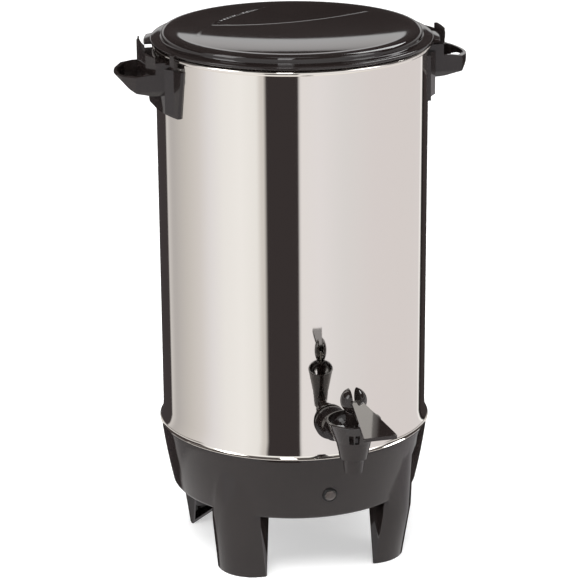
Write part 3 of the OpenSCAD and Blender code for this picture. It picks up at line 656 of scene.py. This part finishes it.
@dataclass
class Surround:
    """Round wall of the studio that only mirrored rays see, painted with what the tank mirrors.

    Attributes:
        facing: Direction of the camera round the urn, in degrees, from -Y towards +X.
        reach: Radius of the wall in metres.
        low: Height of its lower edge in metres.
        high: Height of its upper edge in metres.
        sides: Flat faces round the wall.
        tones: Degrees from the camera, to the right positive, and hex colour of the wall there.
        table: Colour of the white table in front of the wall.
        table_top: Height on the wall below which the table hides it, in metres.
        horizon: Height on the wall from which on the pale backdrop behind the urn shows.
        backdrop: Share of the way from horizon to canopy and hex colour of the backdrop there.
        canopy: Colour of the dark canopy behind the urn.
        ceiling: Colour above canopy and windows, all the way round.
        canopy_low: Height on the wall of the canopy's lower edge, in metres.
        canopy_high: Height on the wall of its upper edge, in metres.
        canopy_span: How far to each side of straight behind the canopy reaches, in degrees.
        soft_sides: Width over which the canopy's sides fade, in radians.
    """

    facing: float
    reach: float = 5.0
    low: float = -9.0
    high: float = 24.0
    sides: int = 180
    tones: Tones = (
        (-180, "403B3C"), (-134.6, "403B3C"), (-133, "D5D2D1"), (-124, "BDBABA"),
        (-119, "BDBABA"), (-101, "CFCCCA"), (-86, "DCD9D9"), (-73, "EBEAEE"), (-60, "F6F6F7"),
        (-44, "FBFBFC"), (-30, "F5F5F5"), (-26, "D8D5D3"), (-22.8, "D8D5D3"), (-22.2, "3A3536"),
        (5.2, "3A3536"), (5.8, "EDEBED"), (22, "EDEBEF"), (44, "E5E4E7"), (72, "E3DFE2"),
        (137, "E1DDDF"), (138.4, "FFFFFF"), (140.4, "FFFFFF"), (142, "3A3636"), (145, "1C1818"),
        (148, "3A3434"), (180, "3C3737"))
    table: str = "F2EFEE"
    table_top: float = -2.7
    horizon: float = 0.1
    backdrop: Tones = ((0, "4A4646"), (0.22, "8C8988"), (0.45, "C8C5C4"), (0.7, "E8E5E4"),
                       (0.96, "FFFFFF"))
    canopy: str = "4A4443"
    ceiling: str = "5A5553"
    canopy_low: float = 1.35
    canopy_high: float = 3.9
    canopy_span: float = 100.0
    soft_sides: float = 0.12

    def paint(self) -> Material:
        """Paint the wall's tones by direction, and over them what stands in front by height.

        Returns:
            The material.
        """
        material, glow = glowing("Studio_surround")
        tree = material.node_tree
        angle, height = self.directions(tree)
        share = remap(tree, angle, (-math.pi, math.pi))
        colour = ramp(tree, share, tuple(((a + 180) / 360, code) for a, code in self.tones))
        colour = self.cover(tree, colour, self.table,
                            self.step(tree, height, self.table_top, -0.15))
        behind = self.step(tree, calc(tree, Sum.ABSOLUTE, angle),
                           math.pi - math.radians(self.canopy_span), self.soft_sides)
        rise = remap(tree, height, (self.horizon, self.canopy_low))
        for low, high, code in (
                (self.horizon, self.canopy_low, ramp(tree, rise, self.backdrop)),
                (self.canopy_low, self.canopy_high, self.canopy)):
            between = calc(tree, Sum.MULTIPLY, self.step(tree, height, low, 0.05),
                           self.step(tree, height, high, -0.05))
            colour = self.cover(tree, colour, code, calc(tree, Sum.MULTIPLY, behind, between))
        ahead = calc(tree, Sum.SUBTRACT, 1.0, behind)
        windows = calc(tree, Sum.MULTIPLY, self.step(tree, height, self.canopy_low, 0.3), ahead)
        colour = self.cover(tree, colour, WHITE, windows)
        colour = self.cover(tree, colour, self.ceiling,
                            self.step(tree, height, self.canopy_high, 0.3))
        tree.links.new(colour, glow.inputs["Color"])
        return material

    def directions(self, tree: Tree) -> tuple[Socket, Socket]:
        """Work out where on the wall a point lies.

        Args:
            tree: The material's nodes.

        Returns:
            Sockets of its angle from the camera in radians and its height in metres.
        """
        place = add_node(tree, "ShaderNodeTexCoord").outputs["Object"]
        turned = add_node(tree, "ShaderNodeMapping",
                          values={"Rotation": (0, 0, -math.radians(self.facing))},
                          links={"Vector": place}).outputs["Vector"]
        part = add_node(tree, "ShaderNodeSeparateXYZ", links={"Vector": turned}).outputs
        ahead = calc(tree, Sum.MULTIPLY, part["Y"], -1.0)
        return calc(tree, Sum.ARCTAN2, part["X"], ahead), part["Z"]

    def step(self, tree: Tree, source: Socket, edge: float, width: float) -> Socket:
        """Factor that goes from 0 to 1 over a width from an edge on."""
        return remap(tree, source, (edge, edge + width))

    def cover(self, tree: Tree, below: Socket, code: str | Socket, factor: Socket) -> Socket:
        """Lay a colour over another where a factor is 1.

        Args:
            tree: The material's nodes.
            below: Colour underneath.
            code: Hex colour or colour socket on top.
            factor: Where the top one shows.

        Returns:
            The mixed colour's socket.
        """
        node = add_node(tree, "ShaderNodeMix", {"data_type": "RGBA"})
        colours = [plug for plug in node.inputs if plug.type == "RGBA"]
        if isinstance(code, str):
            colours[1].default_value = linear(code)
        else:
            tree.links.new(code, colours[1])
        tree.links.new(below, colours[0])
        tree.links.new(factor, node.inputs["Factor"])
        return next(plug for plug in node.outputs if plug.type == "RGBA")

    def build(self) -> None:
        """Stand the wall round the urn and hang the cards."""
        rest()
        bpy.ops.mesh.primitive_cylinder_add(vertices=self.sides, radius=self.reach,
                                            depth=self.high - self.low, end_fill_type="NOTHING")
        wall = bpy.context.object
        wall.name = "Surround"
        bpy.ops.object.mode_set(mode="EDIT")
        bpy.ops.mesh.select_all(action="SELECT")
        bpy.ops.transform.translate(value=(0, 0, (self.high + self.low) / 2))
        bpy.ops.object.mode_set(mode="OBJECT")
        wall.data.materials.append(self.paint())
        only_mirrored(wall)
        for card in (Card("Overhead_card", aside=-7, up=50, reach=3.0, size=(0.55, 1.8), shine=5.0),
                     Card("Rim_card", aside=128, up=46, reach=4.2, size=(2.3, 2.2), shine=8.0)):
            card.build(self.facing)


@dataclass
class Studio:
    """Camera, floor, lamps and the surround that the polished tank mirrors.

    Attributes:
        lens: Focal length of the camera in millimetres.
        sensor: Width of its film in millimetres.
        place: Its place in metres.
        turn: Its rotation about X, Y and Z in degrees.
        clip: Nearest and farthest distance that it sees, in metres.
        facing: Its direction round the urn, in degrees, from -Y towards +X.
        middle_z: Height that the lamps look at, in metres.
        matt_light: Strength of the world's light on matt surfaces, where 1 is white.
        floor_size: Side of the table in metres.
        floor_glow: How much light the table gives off by itself.
    """

    lens: float = 164.67
    sensor: float = 36.0
    place: Point3 = (-0.53736, -1.93373, 0.8671)
    turn: Point3 = (71.8797, 0.3431, -15.5673)
    clip: Point2 = (0.05, 60.0)
    facing: float = -15.53
    middle_z: float = 0.25
    matt_light: float = 0.8
    floor_size: float = 16.0
    floor_glow: float = 0.42

    def camera(self) -> None:
        """Set the camera."""
        data = bpy.data.cameras.new("Camera")
        data.lens = self.lens
        data.sensor_width = self.sensor
        data.clip_start, data.clip_end = self.clip
        eye = bpy.data.objects.new("Camera", data)
        bpy.context.scene.collection.objects.link(eye)
        eye.location = self.place
        eye.rotation_euler = [math.radians(a) for a in self.turn]
        bpy.context.scene.camera = eye

    def world(self) -> None:
        """White to the eye and to reflections, and a softer light on matt surfaces."""
        world = bpy.data.worlds.new("Pale_studio")
        bpy.context.scene.world = world
        world.use_nodes = True
        tree = world.node_tree
        path = add_node(tree, "ShaderNodeLightPath").outputs
        seen = calc(tree, Sum.ADD, path["Is Camera Ray"], path["Is Glossy Ray"])
        seen = calc(tree, Sum.ADD, seen, path["Is Transmission Ray"], clamp=True)
        back = tree.nodes["Background"]
        back.inputs["Color"].default_value = linear(WHITE)
        tree.links.new(remap(tree, seen, end=(self.matt_light, 1.0)), back.inputs["Strength"])

    def floor(self) -> None:
        """White table that glows a little, so that it looks white and keeps a soft shadow."""
        rest()
        bpy.ops.mesh.primitive_plane_add(size=self.floor_size)
        floor = bpy.context.object
        floor.name = "Floor"
        material = bpy.data.materials.new("White_table")
        material.use_nodes = True
        shader = material.node_tree.nodes["Principled BSDF"]
        for name, value in (("Base Color", linear("F4F4F4")), ("Roughness", 0.9),
                            ("Specular IOR Level", 0.0), ("Emission Color", linear(WHITE)),
                            ("Emission Strength", self.floor_glow)):
            shader.inputs[name].default_value = value
        floor.data.materials.append(material)
        floor.visible_glossy = False

    def lamp(self, name: str, aside: float, up: float, reach: float, size: Point2,
             watts: float) -> Object:
        """Hang a soft lamp that looks at the urn.

        Args:
            name: Name of the lamp.
            aside: Degrees round the urn from the camera, to the right positive.
            up: Degrees above the table.
            reach: Distance from the urn in metres.
            size: Width and height of the lamp in metres.
            watts: Its power.

        Returns:
            The lamp.
        """
        data = bpy.data.lights.new(name, "AREA")
        data.shape = "RECTANGLE"
        data.size, data.size_y, data.energy = size[0], size[1], watts
        lamp = bpy.data.objects.new(name, data)
        bpy.context.scene.collection.objects.link(lamp)
        lamp.location, lamp.rotation_euler = hung(Vector((0, 0, self.middle_z)), self.facing,
                                                  aside, up, reach)
        return lamp

    def build(self) -> None:
        """Set up the whole studio."""
        self.camera()
        self.world()
        self.floor()
        key = self.lamp("Key_lamp", aside=-8, up=50, reach=2.6, size=(1.2, 0.9), watts=34)
        key.visible_glossy = False
        self.lamp("Left_lamp", aside=-62, up=34, reach=2.6, size=(0.9, 1.4), watts=14)
        self.lamp("Right_lamp", aside=66, up=34, reach=2.6, size=(0.9, 1.4), watts=8)
        Surround(facing=self.facing).build()
        LOG.info("studio ready")


# Tank


@dataclass
class Tank:
    """Drawn and polished steel tank with its rolled rim, flared foot and heating well.

    Attributes:
        radius: Outer radius.
        wall: Thickness of the sheet.
        floor_z: Height of the floor's underside.
        corner: Radius where floor and side meet.
        rim_z: Height of the rim's top.
        bead: Radius of the rolled rim.
        well_radius: Outer radius of the well in the floor.
        well_z: Height of the well's underside.
        well_round: Rounding of the well's foot and of its upper edge.
        foot_z: Height above the floor's underside where the side leaves off for the foot.
        foot: How far out and how high above the floor's underside the flared foot's points lie.
        steps: Segments round the axis.
    """

    radius: float = 105.0
    wall: float = 1.2
    floor_z: float = 100.0
    corner: float = 6.0
    rim_z: float = 413.8
    bead: float = 1.9
    well_radius: float = 24.0
    well_z: float = 90.0
    well_round: Point2 = (0.8, 0.6)
    foot_z: float = 6.6
    foot: tuple[Point2, ...] = (
        (0.5, 7.0), (2.4, 7.1), (2.9, 7.35), (2.95, 7.75), (2.55, 8.1), (2.0, 8.55), (1.5, 9.3),
        (1.1, 10.3), (0.7, 12.0), (0.36, 14.5), (0.12, 17.5), (0.0, 21.0))
    steps: int = 288

    def outline(self) -> list[Point2]:
        """Section of the sheet, from the well's middle out, up, round the bead and back inside.

        Returns:
            The points of the closed section.
        """
        r, w, z = self.radius, self.wall, self.floor_z
        well_r, well_z = self.well_radius, self.well_z
        low, high = self.well_round
        bead_x, bead_z = r - w / 2 + self.bead, self.rim_z - self.bead
        below = rounded([(0, well_z, 0), (well_r, well_z, low), (well_r, z, high),
                         (r, z, self.corner), (r, z + self.foot_z, 0)])
        below = [point for point in below if point[1] <= z + self.foot_z]
        foot = [(r + out, z + up) for out, up in self.foot]
        turns = [math.radians(a) for a in range(-110, 181, 15)]
        ring = [(bead_x + self.bead * math.cos(a), bead_z + self.bead * math.sin(a))
                for a in turns]
        inside = rounded([(r - w, bead_z, 0), (r - w, z + w, self.corner - w),
                          (well_r - w, z + w, high), (well_r - w, well_z + w, low),
                          (0, well_z + w, 0)])
        return below + foot + ring + inside

    def build(self) -> None:
        """Model the tank and let it take the body's place."""
        item = lathe("tank", self.outline(), self.steps)
        coat(item, TANK_STEEL)
        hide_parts("urn_body")
        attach(item, "urn")
        LOG.info("tank: %d faces", len(item.data.polygons))


# Moulded pieces


def merged_copy(node: str) -> Object:
    """Copy a node's solid as one welded mesh with its flat faces joined.

    Args:
        node: Name of the node.

    Returns:
        The copy, in object mode and selected alone.
    """
    rest()
    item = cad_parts[node].copy()
    item.data = item.data.copy()
    item.name = item.data.name = f"{node}_moulding"
    bpy.context.scene.collection.objects.link(item)
    item.hide_render = item.hide_viewport = False
    bpy.context.view_layer.objects.active = item
    item.select_set(True)
    bpy.ops.object.mode_set(mode="EDIT")
    bpy.ops.mesh.select_all(action="SELECT")
    bpy.ops.mesh.remove_doubles(threshold=WELD_MM * MM)
    bpy.ops.mesh.dissolve_limited(angle_limit=math.radians(FLAT_DEG))
    bpy.ops.object.mode_set(mode="OBJECT")
    return item


@dataclass
class Moulding:
    """Moulded piece with its edges rounded off, as a mould leaves them.

    Attributes:
        node: The node that it stands in for.
        body: The body that it rides.
        slot: Name of a material slot; not used.
        finish: Its finish.
        edge_mm: Width of the rounding.
        sharp: Smallest angle of an edge that is rounded, in degrees.
    """

    node: str
    body: str
    slot: str
    finish: Finish
    edge_mm: float = 0.5
    sharp: float = 14.0

    def shape(self, item: Object) -> None:
        """Change the merged copy before its edges are rounded. Plain mouldings keep it as it is."""

    def build(self) -> None:
        """Make the piece from its solid and let it take the node's place."""
        item = merged_copy(self.node)
        self.shape(item)
        soften(item, self.edge_mm, self.sharp)
        item.data.materials.clear()
        coat(item, self.finish)
        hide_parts(self.node)
        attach(item, self.body)
        LOG.info("%s: %d faces", self.node, len(item.data.polygons))


@dataclass
class Spring(Moulding):
    """Valve spring at rest; the real one shortens to its upper seat as the lever lifts the stem.

    Attributes:
        joint: The joint that squeezes the real spring; not used.
        lift_mm: How far its lower end rises at the joint's limit; not used.
        round_deg: Largest angle that is shaded smooth, in degrees.
    """

    joint: str = "lever_press"
    lift_mm: float = 2.9
    round_deg: float = 60.0

    def build(self) -> None:
        """Make the spring from its solid, shaded smooth."""
        item = merged_copy(self.node)
        bpy.ops.object.shade_smooth_by_angle(angle=math.radians(self.round_deg))
        item.data.materials.clear()
        coat(item, self.finish)
        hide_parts(self.node)
        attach(item, self.body)
        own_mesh(item)
        LOG.info("%s: %d faces", self.node, len(item.data.polygons))


@dataclass
class Base(Moulding):
    """Moulded base whose lip tucks in under the tank's flared foot.

    Attributes:
        tuck_from: Height from which on the lip is drawn in.
        tuck_r: Radius that it is drawn in to.
        top_z: Height of its top under the foot.
        lip: Width of the ring that stays below that height.
    """

    tuck_from: float = 98.0
    tuck_r: float = 106.9
    top_z: float = 106.75
    lip: float = 5.0

    def shape(self, item: Object) -> None:
        """Draw the lip in and down, so that the tank's foot covers it."""
        for vertex in item.data.vertices:
            radius = math.hypot(vertex.co.x, vertex.co.y) / MM
            if vertex.co.z > self.tuck_from * MM and radius > self.tuck_r:
                vertex.co.x *= self.tuck_r / radius
                vertex.co.y *= self.tuck_r / radius
            if radius > self.tuck_r - self.lip:
                vertex.co.z = min(vertex.co.z, self.top_z * MM)


@dataclass
class Lid:
    """Moulded lid: outer band, raised disc, dish and a leaf-shaped scoop behind a soft crest.

    The scoop is laid out in a plan that is turned with the lid, X to the right and Y to the back.

    Attributes:
        seat_z: Height where the lid rests on the tank's rim.
        band_low: Height of the outer band's lower edge.
        band_high: Height of its upper edge.
        crest_z: Height of the crest round the dish.
        crest_r: Radius of the crest.
        outer_r: Radius of the band.
        wall_r: Radius of the raised disc.
        slopes: Distance from the axis and slope of the dish there.
        wall: Thickness of the dish.
        skin: Depth below the crest down to which points belong to the upper face.
        turn: Direction of the scoop's front round the urn, in degrees, from -Y towards +X.
        front_circle: Middle and radius of the scoop's front line.
        rear_circle: Middle and radius of its rear rim.
        snap: Distance from the rear rim within which points are drawn onto it.
        margin: Least distance between scoop and crest.
        lip_reach: Width of the soft lip along the front line.
        lip_curve: The lip sinks by the square of the distance from the line over this.
        lip_drop: Depth where the lip ends.
        lip_slope: Slope below the lip.
        rim_step: Depth of the step down at the rear rim.
        rim_width: Width of that step.
        floor_slope: How fast the floor sinks away from the rear rim.
        side_slope: How fast it may sink away from the crest.
        rings: Rings of the dish's mesh.
        steps: Segments round the axis.
    """

    seat_z: float = 414.1
    band_low: float = 415.2
    band_high: float = 417.6
    crest_z: float = 423.6
    crest_r: float = 97.0
    outer_r: float = 109.5
    wall_r: float = 101.5
    slopes: tuple[Point2, ...] = ((0, 0), (88, 0.13), (95, 0), (97, 0))
    wall: float = 2.5
    skin: float = 7.0
    turn: float = -15.5
    front_circle: Point3 = (-576.0, 1953.0, 2000.0)
    rear_circle: Point3 = (66.9, -26.2, 139.5)
    snap: float = 0.5
    margin: float = 5.0
    lip_reach: float = 8.0
    lip_curve: float = 60.0
    lip_drop: float = 1.07
    lip_slope: float = 0.5
    rim_step: float = 0.9
    rim_width: float = 1.1
    floor_slope: float = 0.045
    side_slope: float = 0.07
    rings: int = 128
    steps: int = 540

    def dish(self) -> list[Point2]:
        """Distance from the axis and height of the dish's rings, from the middle out.

        Returns:
            The points. The slope stays level in the middle, grows, and levels out at the crest.
        """
        step = self.crest_r / self.rings
        points, height = [], self.crest_z
        for i in range(self.rings, -1, -1):
            points.append((i * step, height))
            middle = (i - 0.5) * step
            for (r0, s0), (r1, s1) in zip(self.slopes, self.slopes[1:]):
                if r0 <= middle < r1:
                    height -= step * (s0 + (s1 - s0) * (middle - r0) / (r1 - r0))
        return points[::-1]

    def section(self) -> list[Point2]:
        """Section of the lid, from the dish's middle out, down, round the skirt and back below.

        Returns:
            The points of the closed section.
        """
        dish, r, w = self.dish(), self.outer_r, self.wall_r
        top, seat, low, high = self.crest_z, self.seat_z, self.band_low, self.band_high
        shoulder = [(98.0, top - 0.12), (98.9, top - 0.4), (99.7, top - 0.85),
                    (100.3, top - 1.45), (100.75, top - 2.2), (101.05, top - 3.1),
                    (w - 0.2, top - 4.2), (w, top - 5.1), (w + 0.25, top - 5.45)]
        band = [(r - 4, high + 0.2), (r - 0.9, high), (r - 0.4, high - 0.15),
                (r - 0.1, high - 0.5), (r, high - 0.9), (r, low + 0.5), (r - 0.3, low + 0.1),
                (r - 0.8, low)]
        skirt = [(107.2, seat), (103.4, seat), (103.0, seat - 8.3), (102.4, seat - 9.0),
                 (101.2, seat - 9.0), (100.7, seat - 8.4), (100.6, seat + 2.6), (98.6, top - 3.8)]
        under = [(x, y - self.wall) for x, y in dish[::-8]]
        return dish + shoulder + band + skirt + under + [(0.0, dish[0][1] - self.wall)]

    def scoop(self, x: float, y: float) -> Point3:
        """Move a point of the dish onto the scoop.

        Args:
            x: Place in the lid's own turned plan, in millimetres, to the right.
            y: The same, towards the back.

        Returns:
            The point's new place, drawn onto the rear rim where it lies close, and how far it
            sinks.
        """
        front_x, front_y, front_r = self.front_circle
        rear_x, rear_y, rear_r = self.rear_circle
        for edge in (0.0, self.rim_width):
            span = Vector((x - rear_x, y - rear_y))
            off = rear_r - edge - span.length
            if abs(off) < self.snap:
                x, y = Vector((x, y)) + span.normalized() * off
        front = front_r - math.hypot(x - front_x, y - front_y)
        rear = rear_r - math.hypot(x - rear_x, y - rear_y)
        ring = self.crest_r - self.margin - math.hypot(x, y)
        if min(front, rear, ring) <= 0:
            return x, y, 0.0
        if front < self.lip_reach:
            lip = front * front / self.lip_curve
        else:
            lip = self.lip_drop + self.lip_slope * (front - self.lip_reach)
        step = self.rim_step * rear / self.rim_width
        floor = self.rim_step + self.floor_slope * rear
        return x, y, min(lip, step, floor, self.side_slope * ring)

    def press_scoop(self, item: Object) -> None:
        """Press the scoop into the dish's upper face.

        Args:
            item: The turned lid.
        """
        c, s = math.cos(math.radians(-self.turn)), math.sin(math.radians(-self.turn))
        near = self.crest_r - self.margin + 1
        for vertex in item.data.vertices:
            x, y, z = (v / MM for v in vertex.co)
            if math.hypot(x, y) < near and z > self.crest_z - self.skin:
                right, back, drop = self.scoop(c * x - s * y, s * x + c * y)
                vertex.co = ((c * right + s * back) * MM, (c * back - s * right) * MM,
                             (z - drop) * MM)

    def clasps(self) -> list[Object]:
        """Lugs over the handles and catches that hook under the rim, one of each on each side.

        Returns:
            The lugs and catches.
        """
        z = self.seat_z
        lug = rounded([(108.0, z + 0.1, 0), (114.5, z + 0.1, 0.4), (114.5, z + 1.7, 0.8),
                       (109.2, z + 2.85, 0), (108.0, z + 2.85, 0)], steps=3)
        catch = rounded([(107.4, z - 8.6, 0.3), (111.0, z - 8.6, 0.6), (111.0, z + 2.4, 0.5),
                         (109.0, z + 3.0, 0), (107.4, z + 2.0, 0)], steps=3)
        items = []
        for side in (0, 180):
            items.append(lathe("lug", lug, 12, turn=(side - 7.6, side + 7.6)))
            items.append(lathe("catch", catch, 4, turn=(side + 21.5, side + 24.5)))
        for item in items:
            soften(item, width_mm=0.35, sharp=30)
        return items

    def build(self) -> None:
        """Model the lid with its scoop, lugs and catches."""
        item = lathe("lid_moulding", self.section(), self.steps, smooth=45)
        self.press_scoop(item)
        bpy.ops.object.shade_smooth_by_angle(angle=math.radians(60))
        item = joined("lid_moulding", [item, *self.clasps()])
        coat(item, BLACK_PLASTIC)
        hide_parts("lid")
        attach(item, "lid")
        LOG.info("lid: %d faces", len(item.data.polygons))


# Nodes that keep their solid


@dataclass
class Fittings:
    """Nodes whose solid is shown as it is.

    Attributes:
        finishes: Each finish and the nodes that have it.
    """

    finishes: tuple[tuple[Finish, tuple[str, ...]], ...] = (
        (BLACK_PLASTIC, ("bottom_cover", "power_inlet", "tap_nut")),
        (PLAIN_STEEL, ("cover_screws", "base_nuts", "keep_warm_heater", "handle_screws",
                       "tap_stem", "lever_pin")),
        (ALUMINIUM, ("brew_heater", "pump_stem", "pump_base", "coffee_basket", "basket_cover")),
        (PHENOLIC, ("thermostat",)),
        (CERAMIC, ("thermal_fuse", "terminal_block")),
        (SLEEVE, ("wiring",)),
        # the bezel's darkened colour is painted shade round the pilot lens
        (BEZEL_PLASTIC_WITH_PAINTED_SHADE, ("pilot_bezel",)),
        (LENS, ("pilot_lens",)),
        (GLASS, ("pilot_bulb",)),
        (DARK_RUBBER, ("tap_gasket",)),
        (SILICONE, ("seat_cup",)),
    )

    def build(self) -> None:
        """Give each node its finish."""
        for finish, names in self.finishes:
            for name in names:
                coat(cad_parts[name], finish)
                LOG.info("%s: %s", name, finish.title)


def main() -> None:
    """Build the scene in order."""
    logging.basicConfig(level=logging.INFO, format="%(name)s: %(message)s")
    Studio().build()
    Fittings().build()
    Tank().build()
    for node in ("handle_left", "handle_right"):
        Moulding(node, "urn", "black_plastic", BLACK_PLASTIC).build()
    Base("base_housing", "urn", "black_plastic", BLACK_PLASTIC, edge_mm=0.4, sharp=30).build()
    Lid().build()
    for node, body in (("tap_body", "urn"), ("tap_bonnet", "urn"), ("tap_flange", "urn"),
                       ("tap_lever", "lever")):
        Moulding(node, body, "black_plastic", BLACK_PLASTIC, edge_mm=0.4, sharp=20).build()
    Spring("tap_spring", "urn", "plain_steel", PLAIN_STEEL).build()
    bpy.context.scene.view_settings.view_transform = "Standard"


if __name__ == "__main__":
    main()
